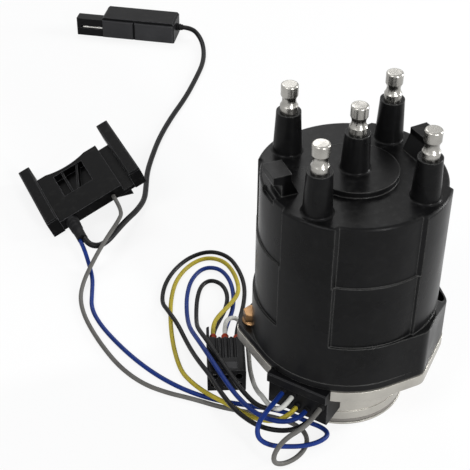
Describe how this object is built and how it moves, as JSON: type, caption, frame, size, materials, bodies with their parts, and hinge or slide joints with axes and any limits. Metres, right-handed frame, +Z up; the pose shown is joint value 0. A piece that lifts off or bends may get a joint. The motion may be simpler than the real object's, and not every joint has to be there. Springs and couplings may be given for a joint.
{
  "type": "ignition distributor",
  "caption": "Ignition distributor with moulded cap, push-fit lead posts, turning rotor shaft, drive tang, and a wired harness with connectors.",
  "frame": {"origin": "centre of the pilot's bottom rim, on the shaft's axis and level with the surface the harness lies on", "axes": "+Z up the shaft towards the lead posts; the four outer posts stand at 45 degrees to +X and +Y; the module plug points to azimuth -131 degrees"},
  "size_m": [0.1671, 0.4046, 0.1425],
  "materials": {
    "cast_alloy": "as-cast, bead blasted",
    "machined_alloy": "machined",
    "gloss_black": "moulded phenolic, glossy with satin roof",
    "plug_black": "moulded nylon",
    "module_black": "potted moulding",
    "steel": "ground",
    "bronze": "sintered",
    "brass": "stamped",
    "screw_gold": "yellow passivated steel",
    "post_metal": "bright turned",
    "seal_rubber": "moulded",
    "orange_rubber": "moulded silicone",
    "gasket": "die cut",
    "copper": "enamelled winding",
    "bobbin": "moulded",
    "magnet": "sintered ferrite",
    "carbon": "pressed graphite",
    "rotor_black": "moulded phenolic",
    "wire_yellow": "extruded jacket",
    "wire_blue": "extruded jacket",
    "wire_black": "extruded jacket",
    "wire_grey": "extruded jacket",
    "wire_white": "extruded jacket",
    "tin": "tinned brass"
  },
  "bodies": {
    "distributor": {"housing": "cast_alloy", "pilot_ring": "seal_rubber", "lower_bushing": "bronze", "upper_bushing": "bronze", "shaft_seal": "seal_rubber", "cap_gasket": "gasket", "pickup_plate": "steel", "pickup_coil": "bobbin", "pickup_winding": "copper", "pickup_magnet": "magnet", "pole_piece": "steel", "pickup_clip": "steel", "ignition_module": "module_black", "module_screws": "steel", "module_terminals": "tin", "module_plug": "plug_black", "wire_boots": "seal_rubber", "cap": "gloss_black", "cap_screws": "screw_gold", "centre_terminal": "post_metal", "terminal_front_left": "post_metal", "terminal_front_right": "post_metal", "terminal_rear_left": "post_metal", "terminal_rear_right": "post_metal", "brush_spring": "steel", "inline_plug": "plug_black", "inline_seals": "orange_rubber", "inline_blank": "orange_rubber", "inline_terminals": "tin", "inline_lock": "plug_black", "coil_plug": "plug_black", "coil_boot": "seal_rubber", "tach_plug": "plug_black", "tach_covers": "plug_black", "tach_blade": "tin", "tach_gland": "seal_rubber", "yellow_wire": "wire_yellow", "outer_black_wire": "wire_black", "blue_wire": "wire_blue", "inner_black_wire": "wire_black", "white_wire": "wire_white", "coil_blue_wire": "wire_blue", "coil_grey_wire": "wire_grey", "tach_wire": "wire_black"},
    "rotor_shaft": {"shaft": "steel", "drive_coupling": "steel", "drive_pin": "steel", "lower_washer": "steel", "upper_washer": "bobbin", "timer_core": "steel", "rotor_arm": "rotor_black", "rotor_contact": "brass"},
    "brush": {"carbon_brush": "carbon"}
  },
  "joints": [
    {"name": "shaft_rotation", "type": "hinge", "parent": "distributor", "child": "rotor_shaft", "pos_m": [0, 0, 0.03], "axis": [0, 0, 1], "continuous": true},
    {"name": "brush_slide", "type": "slide", "parent": "distributor", "child": "brush", "axis": [0, 0, 1], "range_m": [0, 0.0015], "stiffness_N_per_m": 200, "springref_m": -0.004, "deforming": ["brush_spring"]}
  ]
}
